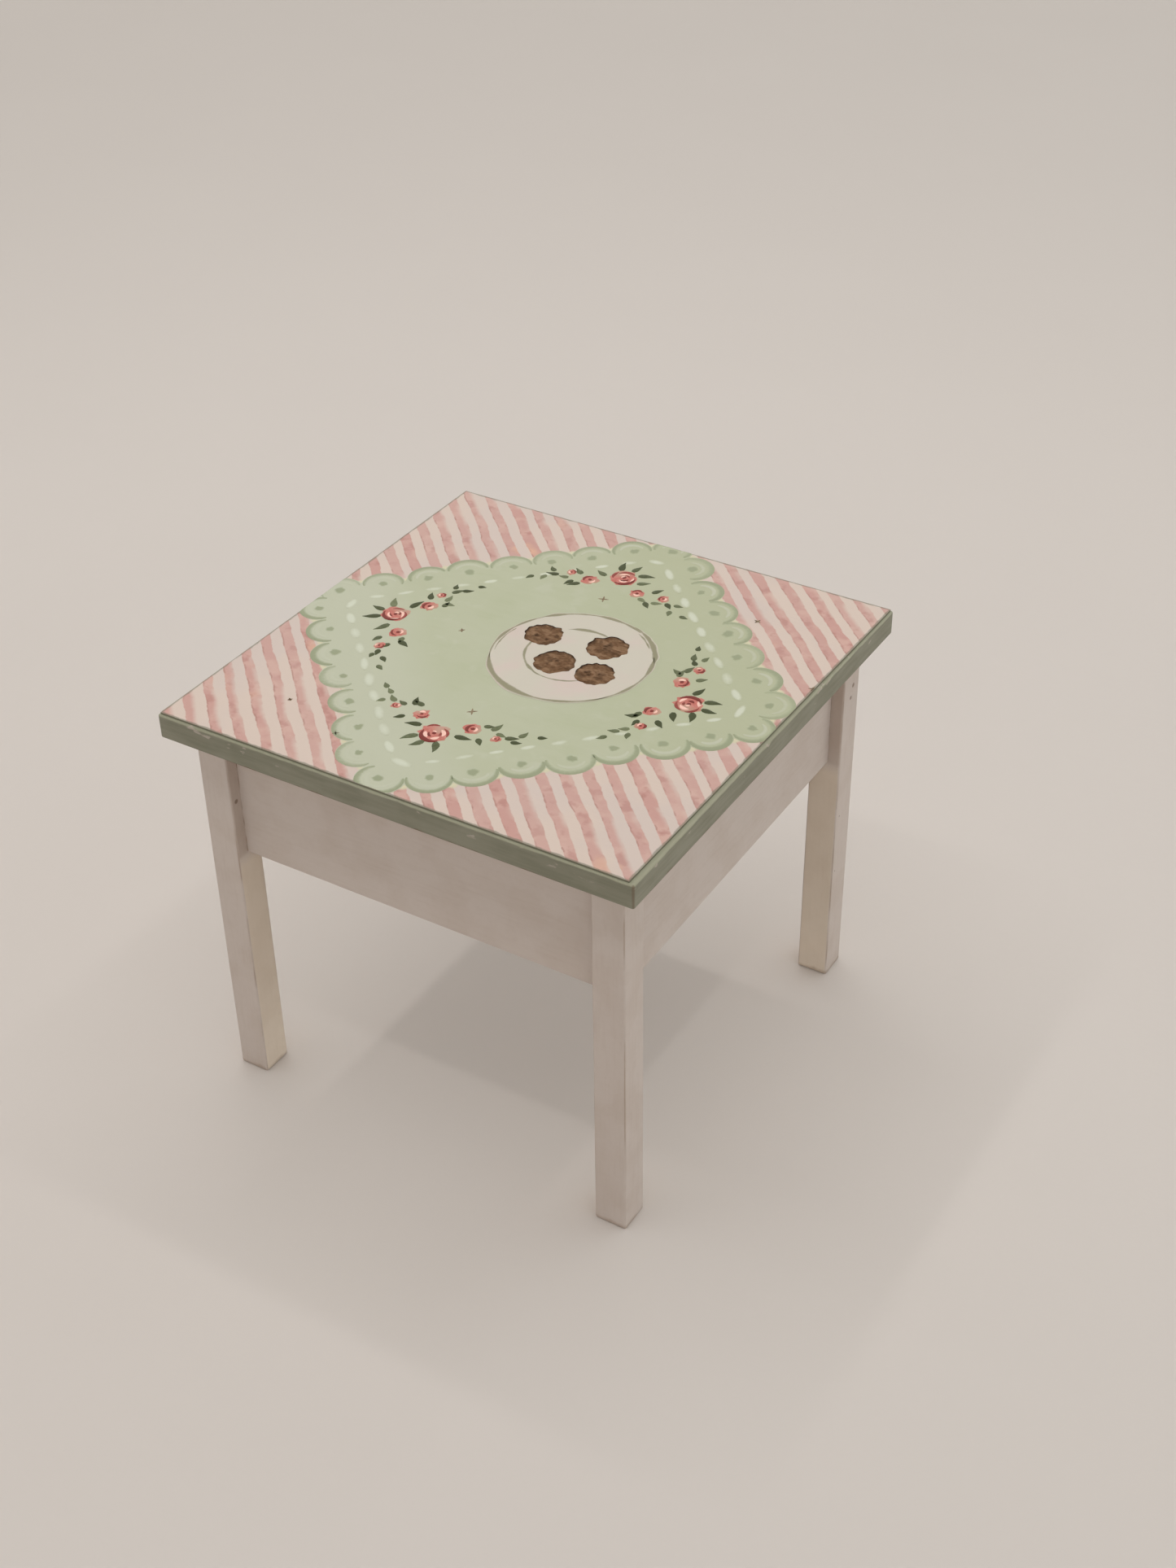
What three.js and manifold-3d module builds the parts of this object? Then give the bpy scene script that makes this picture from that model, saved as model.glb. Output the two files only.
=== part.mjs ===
// A dolls' house dining table at one-twelfth scale: a square board on four straight legs,
// with a deep rail (apron) between each pair of legs and a thin decorated facing on the board.
// Millimetres, +Z up, front towards -Y. The origin is on the floor, under the middle of the table.
import * as THREE from "three";
import { mergeVertices } from "three/addons/utils/BufferGeometryUtils.js";
import Module from "manifold-3d";

// Driving dimensions
const TABLE_HEIGHT = 65;
const TOP_SIDE = 75;
const TOP_THICKNESS = 4; // board and facing together
const TOP_CORNER_RADIUS = 0.4; // seen from above
const TOP_ARRIS = 0.25; // rounding of the board's upper and lower edges
const FACING_THICKNESS = 0.3;
const FACING_INSET = 0.35; // the facing stops short of the board's sides
const FACING_TRIM = 0.5; // its front right corner is cut this much shorter, on the right
const LEG_SIDE = 5;
const LEG_INSET = 3.25; // board's side to leg's outer face
const LEG_ARRIS = 0.35; // worn long edges of a leg
const FOOT_EASE = 0.3; // rounding round the foot of a leg
const APRON_DEPTH = 20;
const APRON_THICKNESS = 2;
const APRON_SETBACK = 2; // leg's outer face to apron's outer face
const APRON_ARRIS = 0.25;
const TENON_LENGTH = 1.2;
const TENON_THICKNESS = 1;
const TENON_HEIGHT = 14;
const MORTISE_CLEARANCE = 0.1; // room for glue on every side of a tenon

// Sizes that follow from them
const BOARD_THICKNESS = TOP_THICKNESS - FACING_THICKNESS;
const LEG_HEIGHT = TABLE_HEIGHT - TOP_THICKNESS;
const LEG_OFFSET = TOP_SIDE / 2 - LEG_INSET - LEG_SIDE / 2; // table's middle to leg's middle
const APRON_LENGTH = 2 * LEG_OFFSET - LEG_SIDE; // between the legs' inner faces
const APRON_OUTER = LEG_OFFSET + LEG_SIDE / 2 - APRON_SETBACK; // table's middle to apron's outer face
const APRON_MIDDLE = APRON_OUTER - APRON_THICKNESS / 2;
const APRON_BOTTOM = LEG_HEIGHT - APRON_DEPTH;
const TENON_MIDDLE = LEG_HEIGHT - APRON_DEPTH / 2; // height of a tenon's middle

const CURVE_SEGMENTS = 6; // facets in a quarter round
const EASE_SEGMENTS = 3;
const MERGE_DISTANCE = 1e-4;

const wasm = await Module();
wasm.setup();

const materials = {
  decoratedFacing: new THREE.MeshStandardMaterial({ color: 0xd6c8b9, roughness: 0.55, metalness: 0 }),
  sagePaint: new THREE.MeshStandardMaterial({ color: 0x85876f, roughness: 0.5, metalness: 0 }),
  washedWood: new THREE.MeshStandardMaterial({ color: 0xb3a89b, roughness: 0.65, metalness: 0 }),
};

// A closed geometry as a solid that can be cut and joined.
function solidFrom(geometry) {
  const bare = geometry.clone();
  bare.deleteAttribute("normal");
  bare.deleteAttribute("uv");
  const merged = mergeVertices(bare, MERGE_DISTANCE);
  const mesh = new wasm.Mesh({
    numProp: 3,
    vertProperties: merged.attributes.position.array,
    triVerts: new Uint32Array(merged.index.array),
  });
  return new wasm.Manifold(mesh);
}

function geometryFrom(solid) {
  const { vertProperties, triVerts } = solid.getMesh();
  const geometry = new THREE.BufferGeometry();
  geometry.setAttribute("position", new THREE.BufferAttribute(vertProperties, 3));
  geometry.setIndex(new THREE.BufferAttribute(triVerts, 1));
  geometry.computeVertexNormals();
  return geometry;
}

// A box given by its size and its middle.
function block([sizeX, sizeY, sizeZ], [x, y, z]) {
  return new THREE.BoxGeometry(sizeX, sizeY, sizeZ).translate(x, y, z);
}

// A square outline, centred, with its four corners rounded.
function roundedSquare(side, radius) {
  const outline = new THREE.Shape();
  const reach = side / 2 - radius;
  for (let quarter = 0; quarter < 4; quarter += 1) {
    const start = (quarter * Math.PI) / 2;
    const middle = start + Math.PI / 4;
    const x = Math.sign(Math.cos(middle)) * reach;
    const y = Math.sign(Math.sin(middle)) * reach;
    outline.absarc(x, y, radius, start, start + Math.PI / 2, false);
  }
  return outline;
}

// A square slab standing on z = 0, with its upper and lower edges rounded over.
function easedSlab(side, cornerRadius, height, ease) {
  const slab = new THREE.ExtrudeGeometry(roundedSquare(side, cornerRadius), {
    depth: height - 2 * ease,
    curveSegments: CURVE_SEGMENTS,
    bevelThickness: ease,
    bevelSize: ease,
    bevelOffset: -ease,
    bevelSegments: EASE_SEGMENTS,
  });
  return slab.translate(0, 0, ease);
}

function boardGeometry() {
  return easedSlab(TOP_SIDE, TOP_CORNER_RADIUS, BOARD_THICKNESS, TOP_ARRIS);
}

// A thin square sheet with sharp corners, cut by hand, so its right side isn't quite true.
function facingGeometry() {
  const reach = TOP_SIDE / 2 - FACING_INSET;
  const outline = new THREE.Shape([
    new THREE.Vector2(-reach, -reach),
    new THREE.Vector2(reach - FACING_TRIM, -reach),
    new THREE.Vector2(reach, reach),
    new THREE.Vector2(-reach, reach),
  ]);
  return new THREE.ExtrudeGeometry(outline, { depth: FACING_THICKNESS, bevelEnabled: false });
}

// The two mortises of the front left leg, one in each inner face.
function mortises() {
  const reach = 2 * (TENON_LENGTH + MORTISE_CLEARANCE); // half of it is outside the leg
  const width = TENON_THICKNESS + 2 * MORTISE_CLEARANCE;
  const height = TENON_HEIGHT + 2 * MORTISE_CLEARANCE;
  const across = LEG_OFFSET - APRON_MIDDLE; // leg's middle to tenon's middle
  return [
    block([reach, width, height], [LEG_SIDE / 2, across, TENON_MIDDLE]),
    block([width, reach, height], [across, LEG_SIDE / 2, TENON_MIDDLE]),
  ];
}

// The front left leg about its own axis: eased foot, square top, and a mortise in each inner face.
function legGeometry() {
  const overlong = solidFrom(easedSlab(LEG_SIDE, LEG_ARRIS, LEG_HEIGHT + LEG_SIDE, FOOT_EASE));
  const aboveTop = block([2 * LEG_SIDE, 2 * LEG_SIDE, 2 * LEG_SIDE], [0, 0, LEG_HEIGHT + LEG_SIDE]);
  return geometryFrom([aboveTop, ...mortises()].reduce((leg, cut) => leg.subtract(solidFrom(cut)), overlong));
}

// The front apron: a plain board along X with a thin tenon at each end and its lower arrises eased.
function apronGeometry() {
  const half = APRON_THICKNESS / 2;
  const section = new THREE.Shape();
  section.moveTo(half, APRON_DEPTH);
  section.lineTo(-half, APRON_DEPTH);
  section.absarc(-half + APRON_ARRIS, APRON_ARRIS, APRON_ARRIS, Math.PI, 1.5 * Math.PI, false);
  section.absarc(half - APRON_ARRIS, APRON_ARRIS, APRON_ARRIS, 1.5 * Math.PI, 2 * Math.PI, false);
  const board = new THREE.ExtrudeGeometry(section, {
    depth: APRON_LENGTH,
    curveSegments: EASE_SEGMENTS,
    bevelEnabled: false,
  });
  const lengthwise = new THREE.Matrix4().makeBasis(
    new THREE.Vector3(0, 1, 0),
    new THREE.Vector3(0, 0, 1),
    new THREE.Vector3(1, 0, 0),
  );
  board.applyMatrix4(lengthwise).translate(-APRON_LENGTH / 2, 0, 0);
  const tenons = block(
    [APRON_LENGTH + 2 * TENON_LENGTH, TENON_THICKNESS, TENON_HEIGHT],
    [0, 0, TENON_MIDDLE - APRON_BOTTOM],
  );
  return geometryFrom(solidFrom(board).add(solidFrom(tenons)));
}

function piece(name, geometry, material, [x, y, z]) {
  const mesh = new THREE.Mesh(geometry, material);
  mesh.name = name;
  mesh.position.set(x, y, z);
  return mesh;
}

function makeTop() {
  const top = new THREE.Group();
  top.position.z = LEG_HEIGHT;
  top.add(piece("tabletop", boardGeometry(), materials.sagePaint, [0, 0, 0]));
  top.add(piece("top_facing", facingGeometry(), materials.decoratedFacing, [0, 0, BOARD_THICKNESS]));
  return top;
}

// Four quarter turns, each with one leg and the apron on its right, seen from outside.
function makeBase() {
  const base = new THREE.Group();
  const quarters = [
    { corner: "front_left", side: "front" },
    { corner: "front_right", side: "right" },
    { corner: "rear_right", side: "rear" },
    { corner: "rear_left", side: "left" },
  ];
  quarters.forEach(({ corner, side }, turns) => {
    const quarter = new THREE.Group();
    quarter.rotation.z = (turns * Math.PI) / 2;
    quarter.add(piece(`leg_${corner}`, legGeometry(), materials.washedWood, [-LEG_OFFSET, -LEG_OFFSET, 0]));
    quarter.add(piece(`apron_${side}`, apronGeometry(), materials.washedWood, [0, -APRON_MIDDLE, APRON_BOTTOM]));
    base.add(quarter);
  });
  return base;
}

const table = new THREE.Group();
table.add(makeTop(), makeBase());

export default table;
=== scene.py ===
"""The looks of a dolls' house dining table: a painted top, sage-green edges and whitewashed legs.

Lengths are in millimetres in the table's own frame: the origin is on the floor under the middle of the
table, +Z is up and the front faces -Y. METRE turns them into Blender's metres.
"""
import math
import random

import bmesh
import bpy
from mathutils import Matrix, Vector, noise


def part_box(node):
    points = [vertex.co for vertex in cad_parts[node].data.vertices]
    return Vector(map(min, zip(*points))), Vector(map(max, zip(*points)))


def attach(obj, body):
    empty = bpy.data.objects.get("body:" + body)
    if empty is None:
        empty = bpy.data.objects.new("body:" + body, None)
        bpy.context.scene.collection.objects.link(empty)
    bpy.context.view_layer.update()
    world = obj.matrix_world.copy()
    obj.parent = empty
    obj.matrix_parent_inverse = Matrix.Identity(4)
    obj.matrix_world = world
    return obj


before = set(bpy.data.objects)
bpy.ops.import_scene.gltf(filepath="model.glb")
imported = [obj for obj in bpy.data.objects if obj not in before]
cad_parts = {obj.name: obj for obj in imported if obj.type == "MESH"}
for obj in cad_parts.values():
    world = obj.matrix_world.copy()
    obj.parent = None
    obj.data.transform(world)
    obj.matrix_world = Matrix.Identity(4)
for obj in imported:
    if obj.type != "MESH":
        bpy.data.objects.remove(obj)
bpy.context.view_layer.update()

METRE = 0.001
FULL_TURN = 2 * math.pi
ROOT_HALF = math.sqrt(0.5)
SMOOTH_LIMIT = math.radians(40)  # faces that meet at more than this keep a crisp edge


def box_in_mm(node):
    """The lowest and highest corners of a CAD node, in millimetres."""
    low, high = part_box(node)
    return low / METRE, high / METRE


facing_low, facing_high = box_in_mm("top_facing")
board_low, board_high = box_in_mm("tabletop")
apron_low, apron_high = box_in_mm("apron_front")
leg_low, leg_high = box_in_mm("leg_rear_right")

GROUND_Z = facing_high.z  # the facing's upper face, which the paint lies on
FACING_EDGE = facing_high.x  # table's middle to the facing's front, rear and left sides
BOARD_EDGE = board_high.x
LEG_MIDDLE = (leg_low.x + leg_high.x) / 2
LEG_HALF = (leg_high.x - leg_low.x) / 2
LEG_INNER = leg_low.x
APRON_FACE = -apron_low.y  # table's middle to an apron's outer face


def facing_reach(forward):
    """How far right the facing reaches at its front (forward 1) or its rear (forward -1)."""
    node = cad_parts["top_facing"]
    corners = [node.matrix_world @ vertex.co / METRE for vertex in node.data.vertices]
    return max(corner.x for corner in corners if corner.y * forward < 0)


# The facing's right side runs straight from its front corner to its rear corner
FACING_RIGHT_SLOPE = (facing_reach(-1) - facing_reach(1)) / (2 * FACING_EDGE)
FACING_RIGHT_MIDDLE = (facing_reach(-1) + facing_reach(1)) / 2

# Colours, as red, green and blue from 0 to 255 on a display
CREAM = (213, 194, 181)
CREAM_COOL = (209, 192, 182)
PINK = (198, 151, 141)
PINK_PALE = (206, 165, 153)
PINK_DEEP = (186, 133, 123)
PINK_LINE = (171, 125, 114)
SALMON = (216, 168, 143)
MINT = (185, 187, 160)
MINT_DEEP = (180, 183, 153)
MINT_PALE = (191, 192, 170)
MINT_FAR = (179, 181, 150)
MINT_SHADOW = (153, 158, 128)
MINT_NOTCH = (210, 203, 172)
STITCH = (207, 209, 190)
LEAF_DARK = (65, 71, 38)
LEAF_LIGHT = (126, 132, 98)
ROSE_DARK = (124, 46, 38)
ROSE_MIDDLE = (190, 100, 88)
ROSE_LIGHT = (246, 200, 184)
PLATE = (204, 196, 181)
PLATE_LINE = (146, 140, 113)
BISCUIT = (103, 74, 51)
BISCUIT_LIGHT = (142, 111, 84)
BISCUIT_DARK = (50, 32, 19)
SPECK = (112, 88, 66)
SPECK_PALE = (150, 132, 104)
SAGE = (141, 138, 121)
SAGE_DEEP = (124, 122, 104)
# Paler sage along the board's upper arris: thin paint and a painted highlight
SAGE_THIN_AND_HIGHLIGHT = (166, 164, 140)
WASH = (202, 189, 180)
WASH_THIN = (194, 179, 168)
# Paler, warmer washes for the legs' inner faces: painted light bounced under the table
WASH_INNER_PAINTED_LIGHT = (219, 204, 187)
WASH_INNER_THIN_PAINTED_LIGHT = (213, 197, 179)
WOOD = (150, 124, 100)
WOOD_DARK = (112, 88, 68)
FLOOR = (218, 209, 202)
FLOOR_DEEP = (216, 207, 200)


def linear(colour):
    """A display colour as Blender's linear colour, with alpha."""
    channels = []
    for value in colour:
        share = value / 255
        channels.append(share / 12.92 if share <= 0.04045 else ((share + 0.055) / 1.055) ** 2.4)
    return (*channels, 1)


# -------- fields and surfaces

class Field:
    """A number that varies over a surface. Arithmetic on it adds Math nodes to its material."""

    def __init__(self, tree, socket):
        self.tree = tree
        self.socket = socket

    def math(self, operation, *others):
        node = self.tree.nodes.new("ShaderNodeMath")
        node.operation = operation
        self.tree.links.new(self.socket, node.inputs[0])
        for place, other in enumerate(others, start=1):
            if isinstance(other, Field):
                self.tree.links.new(other.socket, node.inputs[place])
            else:
                node.inputs[place].default_value = other
        return Field(self.tree, node.outputs[0])

    def __add__(self, other):
        return self.math("ADD", other)

    def __sub__(self, other):
        return self.math("SUBTRACT", other)

    def __mul__(self, other):
        return self.math("MULTIPLY", other)

    def __truediv__(self, other):
        return self.math("DIVIDE", other)

    def size(self):
        return self.math("ABSOLUTE")

    def least(self, other):
        return self.math("MINIMUM", other)

    def most(self, other):
        return self.math("MAXIMUM", other)

    def rise(self, start, end):
        """0 below start and 1 above end, smoothly between them. A start above end gives a fall."""
        node = self.tree.nodes.new("ShaderNodeMapRange")
        node.interpolation_type = "SMOOTHSTEP"
        node.inputs["From Min"].default_value = start
        node.inputs["From Max"].default_value = end
        self.tree.links.new(self.socket, node.inputs["Value"])
        return Field(self.tree, node.outputs["Result"])


class Surface:
    """A material in the making. x, y and z are the point's place in millimetres."""

    def __init__(self, name):
        self.material = bpy.data.materials.new(name)
        self.material.use_nodes = True
        self.tree = self.material.node_tree
        self.shader = self.tree.nodes["Principled BSDF"]
        self.place = self.tree.nodes.new("ShaderNodeTexCoord").outputs["Object"]
        apart = self.tree.nodes.new("ShaderNodeSeparateXYZ")
        self.tree.links.new(self.place, apart.inputs[0])
        self.x, self.y, self.z = (Field(self.tree, axis) * (1 / METRE) for axis in apart.outputs)

    def noise(self, size, stretch=(1, 1, 1), seed=0, detail=3):
        """Cloudy noise about 0.5, with patches of this size in millimetres, drawn out by stretch."""
        mapping = self.tree.nodes.new("ShaderNodeMapping")
        mapping.inputs["Location"].default_value = (seed, 2 * seed, 3 * seed)
        mapping.inputs["Scale"].default_value = [1 / (size * METRE * along) for along in stretch]
        texture = self.tree.nodes.new("ShaderNodeTexNoise")
        texture.inputs["Scale"].default_value = 1
        texture.inputs["Detail"].default_value = detail
        self.tree.links.new(self.place, mapping.inputs["Vector"])
        self.tree.links.new(mapping.outputs[0], texture.inputs["Vector"])
        return Field(self.tree, texture.outputs[0])

    def chance(self, number, seed=0):
        """A random number from 0 to 1, the same wherever the field number is the same."""
        texture = self.tree.nodes.new("ShaderNodeTexWhiteNoise")
        texture.noise_dimensions = "1D"
        self.tree.links.new((number + seed).socket, texture.inputs["W"])
        return Field(self.tree, texture.outputs["Value"])

    def spot(self, place, radius):
        """1 within this distance of a place, both in millimetres, with a soft rim."""
        gaps = [axis - value for axis, value in zip((self.x, self.y, self.z), place)]
        squares = gaps[0] * gaps[0] + gaps[1] * gaps[1] + gaps[2] * gaps[2]
        return squares.math("SQRT").rise(radius * 1.3, radius * 0.7)

    def attribute(self, name):
        node = self.tree.nodes.new("ShaderNodeAttribute")
        node.attribute_name = name
        return Field(self.tree, node.outputs["Fac"])

    def blend(self, first, second, amount):
        """The first colour where the field amount is 0 and the second where it is 1."""
        node = self.tree.nodes.new("ShaderNodeMix")
        node.data_type = "RGBA"
        self.tree.links.new(amount.socket, node.inputs[0])
        for place, colour in ((6, first), (7, second)):
            if isinstance(colour, tuple):
                node.inputs[place].default_value = linear(colour)
            else:
                self.tree.links.new(colour, node.inputs[place])
        return node.outputs[2]

    def finish(self, colour, roughness, relief, depth):
        """Joins the fields to the shader: relief is a height field whose 1 stands depth mm above its 0."""
        self.tree.links.new(colour, self.shader.inputs["Base Color"])
        self.tree.links.new(roughness.socket, self.shader.inputs["Roughness"])
        bump = self.tree.nodes.new("ShaderNodeBump")
        bump.inputs["Distance"].default_value = depth * METRE
        self.tree.links.new(relief.socket, bump.inputs["Height"])
        self.tree.links.new(bump.outputs[0], self.shader.inputs["Normal"])
        return self.material


# -------- painted surfaces

PAINT_SPECULAR = 0.2
CRUST_SPECULAR = 0.05
PAINT_ROUGHNESS = 0.5
CRUST_ROUGHNESS = 0.65
BRUSH_RELIEF = 0.012
STRIPE_PITCH = 3.05  # across the stripes
STRIPE_START = 0.9  # how far towards the front left the stripes are shifted
STRIPE_LEFT = 0.1  # share of the pitch at which a stripe starts
STRIPE_WIDTH = 0.46  # share of the pitch that a narrow stripe fills
STRIPE_SPREAD = 0.12  # how much more a broad one fills
LINE_RIGHT = 0.2  # share of the pitch at which the fine line on a stripe's left ends
FULL_COVER = (0.05, 0.8)  # the cover at which paint begins to show, and at which it hides its ground


def striped_ground(surface):
    """Cream ground with hand-drawn pink stripes, crisp or washed out on their right."""
    wobble = (surface.noise(9, seed=3) - 0.5) * 1.1 + (surface.noise(2.2, seed=5) - 0.5) * 0.4
    jagged = (surface.noise(0.7, seed=7) - 0.5) * 0.22
    across = (surface.x + surface.y) * ROOT_HALF + wobble + jagged + STRIPE_START
    number = (across / STRIPE_PITCH).math("FLOOR")
    share = across / STRIPE_PITCH - number
    width = surface.chance(number, 11) * STRIPE_SPREAD + STRIPE_WIDTH + (surface.noise(5, seed=8) - 0.5) * 0.2
    beyond = share - width - STRIPE_LEFT  # positive on the right of a stripe
    crisp = beyond.rise(0.02, -0.03)
    washed_out = beyond.rise(0.05, -0.28)
    softness = surface.noise(9, seed=33).rise(0.48, 0.62)
    right = crisp + (washed_out - crisp) * softness
    body = share.rise(STRIPE_LEFT - 0.02, STRIPE_LEFT + 0.025) * right
    cream = surface.blend(CREAM, CREAM_COOL, surface.noise(14, seed=2).rise(0.4, 0.6))
    pink = surface.blend(PINK_PALE, PINK, surface.noise(3.5, seed=9).rise(0.3, 0.55))
    pink = surface.blend(pink, PINK_DEEP, surface.noise(2.5, seed=19).rise(0.52, 0.68) * 0.9)
    pink = surface.blend(pink, SALMON, surface.noise(11, seed=31).rise(0.6, 0.72))
    strength = surface.chance(number, 23) * 0.25 + 0.75
    colour = surface.blend(cream, pink, body * strength)
    edge_line = share.rise(STRIPE_LEFT - 0.01, STRIPE_LEFT + 0.02) * share.rise(LINE_RIGHT, LINE_RIGHT - 0.06)
    broken = surface.noise(1.8, seed=29).rise(0.48, 0.62)
    return surface.blend(colour, PINK_LINE, edge_line * broken * 0.6)


def mint_ground(surface):
    """The doily's mint green, brushed on unevenly, paler at its near left side, greener at its far right."""
    patches = surface.noise(10, seed=13).rise(0.35, 0.65)
    brush = surface.noise(1.6, stretch=(3, 1, 1), seed=17)
    mint = surface.blend(MINT, MINT_DEEP, patches * 0.6 + brush.rise(0.45, 0.75) * 0.4)
    near = (surface.x + surface.y).rise(-16, -30)
    pale = (surface.noise(3.2, seed=15).rise(0.55, 0.75) * 0.6).most(near * 0.8)
    mint = surface.blend(mint, MINT_PALE, pale)
    return surface.blend(mint, MINT_FAR, (surface.x + surface.y).rise(0, 38) * 0.75)


def brushed(surface, colour, roughness=PAINT_ROUGHNESS, specular=PAINT_SPECULAR):
    """Finishes a painted surface with satin varnish over faint brush marks."""
    marks = surface.noise(0.5, stretch=(4, 1, 1), seed=41)
    sheen = surface.noise(6, seed=43) * 0.12 + (roughness - 0.06)
    surface.shader.inputs["Specular IOR Level"].default_value = specular
    return surface.finish(colour, sheen, marks, BRUSH_RELIEF)


def facing_material():
    """Stripes on the upper face, with sage paint smudged over its edges and down its sides."""
    surface = Surface("striped_facing")
    colour = striped_ground(surface)
    right = surface.y * FACING_RIGHT_SLOPE + FACING_RIGHT_MIDDLE - surface.x
    others = surface.y.size().most(surface.x * -1) * -1 + FACING_EDGE
    smudge = surface.noise(1.4, seed=51) * 0.5
    colour = surface.blend(colour, SAGE_DEEP, (right.least(others) - smudge).rise(0.12, -0.12) * 0.7)
    side = surface.z.rise(GROUND_Z - 0.03, GROUND_Z - 0.09)
    colour = surface.blend(colour, SAGE_DEEP, side)
    return brushed(surface, colour)


def mint_material():
    surface = Surface("mint_doily")
    return brushed(surface, mint_ground(surface))


def stroke_material(name, ground, light, dark):
    """Paint brushed over a ground: cover lets the ground through, tint runs from dark to light."""
    surface = Surface(name)
    streaks = surface.noise(0.5, seed=61)
    tint = surface.attribute("tint") + (streaks - 0.5) * 0.5
    paint = surface.blend(dark, light, tint.rise(0, 1))
    cover = surface.attribute("cover") + (streaks - 0.5) * 0.35
    return brushed(surface, surface.blend(ground(surface), paint, cover.rise(*FULL_COVER)))


def rose_material():
    """Rose paint over the doily: tint runs from dark red through rose to pale pink."""
    surface = Surface("rose_paint")
    streaks = surface.noise(0.4, seed=67)
    tint = surface.attribute("tint") + (streaks - 0.5) * 0.3
    deep = surface.blend(ROSE_DARK, ROSE_MIDDLE, tint.rise(0, 0.5))
    paint = surface.blend(deep, ROSE_LIGHT, tint.rise(0.5, 1))
    cover = surface.attribute("cover") + (streaks - 0.5) * 0.4
    return brushed(surface, surface.blend(mint_ground(surface), paint, cover.rise(*FULL_COVER)))


def plate_ground(surface):
    return surface.blend(PLATE, CREAM_COOL, surface.noise(8, seed=71).rise(0.45, 0.7))


def plate_material():
    surface = Surface("plate_white")
    return brushed(surface, plate_ground(surface))


def biscuit_material():
    """Mottled brown crust, darkest where cover is 1."""
    surface = Surface("biscuit_brown")
    crumbs = surface.noise(0.9, stretch=(1.8, 1, 1), seed=73)
    grains = surface.noise(0.35, stretch=(1.6, 1, 1), seed=75)
    crust = crumbs.rise(0.35, 0.6) * 0.7 + grains.rise(0.4, 0.6) * 0.3
    burnt = surface.noise(1.5, seed=79).rise(0.5, 0.62)
    baked = surface.blend(surface.blend(BISCUIT_LIGHT, BISCUIT, crust), BISCUIT_DARK, burnt * 0.4)
    rim = surface.attribute("cover") + (crumbs - 0.5) * 0.6 + (grains - 0.5) * 0.5
    colour = surface.blend(baked, BISCUIT_DARK, rim.rise(0.2, 1.0))
    return brushed(surface, colour, CRUST_ROUGHNESS, CRUST_SPECULAR)


def speck_material():
    """Small brown marks left by a brush."""
    surface = Surface("brown_speck")
    return brushed(surface, surface.blend(SPECK_PALE, SPECK, surface.noise(0.4, seed=77).rise(0.4, 0.6)))


# -------- wood surfaces

WOOD_RELIEF = 0.02
GRAIN_STRETCH = 14  # how many times longer than wide the marks of the grain are


def sage_material():
    """Sage paint on the board's edge, paler along the upper arris for thin paint and a painted highlight,
    darker along the lower edge, over bare wood on the underside.
    """
    surface = Surface("sage_edge")
    streaks = surface.noise(0.6, stretch=(12, 12, 1), seed=81)
    patches = surface.noise(7, seed=83)
    paint = surface.blend(SAGE, SAGE_DEEP, streaks.rise(0.35, 0.7) * 0.45 + patches.rise(0.4, 0.6) * 0.4)
    chip = surface.noise(1.1, stretch=(2.5, 2.5, 1), seed=85)
    # Painted highlight, with thin paint: paler sage along the top of the edge and the upper arris
    upper = (surface.z + (chip - 0.5) * 0.5).rise(board_high.z - 0.3, board_high.z - 0.1)
    paint = surface.blend(paint, SAGE_THIN_AND_HIGHLIGHT, upper * 0.75)
    worn = chip.rise(0.66, 0.72) * surface.z.rise(board_low.z + 1.5, board_high.z - 0.8)
    paint = surface.blend(paint, WASH_THIN, worn * 0.6)
    lower = (surface.z + (chip - 0.5) * 0.9).rise(board_low.z + 0.26, board_low.z + 0.08)
    paint = surface.blend(paint, WOOD_DARK, lower * 0.7)
    corner = surface.x.size().least(surface.y.size()) + (patches - 0.5) * 0.3
    paint = surface.blend(paint, WOOD_DARK, corner.rise(BOARD_EDGE - 0.35, BOARD_EDGE - 0.15) * 0.5)
    grain = surface.noise(0.7, stretch=(GRAIN_STRETCH, 1, 1), seed=87)
    bare = surface.blend(WASH_THIN, WOOD, grain.rise(0.3, 0.75))
    inset = surface.x.size().most(surface.y.size()) * -1 + BOARD_EDGE
    overlap = (inset - patches * 1.2).rise(0.2, 0.9)
    under = surface.z.rise(board_low.z + 0.05, board_low.z + 0.01)
    colour = surface.blend(paint, bare, under * overlap)
    roughness = streaks * 0.2 + 0.42
    surface.shader.inputs["Specular IOR Level"].default_value = PAINT_SPECULAR
    return surface.finish(colour, roughness, streaks + grain * under, WOOD_RELIEF)


def washed_wood(surface, stretch, wear, washes=(WASH, WASH_THIN), marks=None):
    """A full and a thin off-white wash over wood whose faint grain runs along the long side, rubbed
    through to the wood where wear is 1, which on the legs also holds stain and painted shade in the
    recesses, and stained where marks is 1."""
    grain = surface.noise(0.45, stretch=stretch, seed=91, detail=4)
    cloud = surface.noise(6, seed=93)
    mottle = surface.noise(0.8, seed=94)
    thin = grain.rise(0.45, 0.8) * 0.35 + cloud.rise(0.4, 0.65) * 0.5 + mottle.rise(0.45, 0.7) * 0.15
    colour = surface.blend(surface.blend(*washes, thin), WOOD, wear)
    if marks:
        colour = surface.blend(colour, WOOD_DARK, marks)
    surface.shader.inputs["Specular IOR Level"].default_value = PAINT_SPECULAR
    return surface.finish(colour, grain * 0.25 + 0.5, grain * 0.5 + mottle * 0.5, WOOD_RELIEF)


LEG_MARKS = (  # small knots and dots: place and radius
    ((-29.25, -33.2, 50.4), 0.35),
    ((34.25, 32.2, 53.8), 0.36),
    ((34.25, 31.6, 51.9), 0.32),
    ((29.25, -34.25, 15.2), 0.13),
    ((34.25, 30.4, 31.0), 0.14),
    ((34.25, 30.1, 20.6), 0.12),
)


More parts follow.
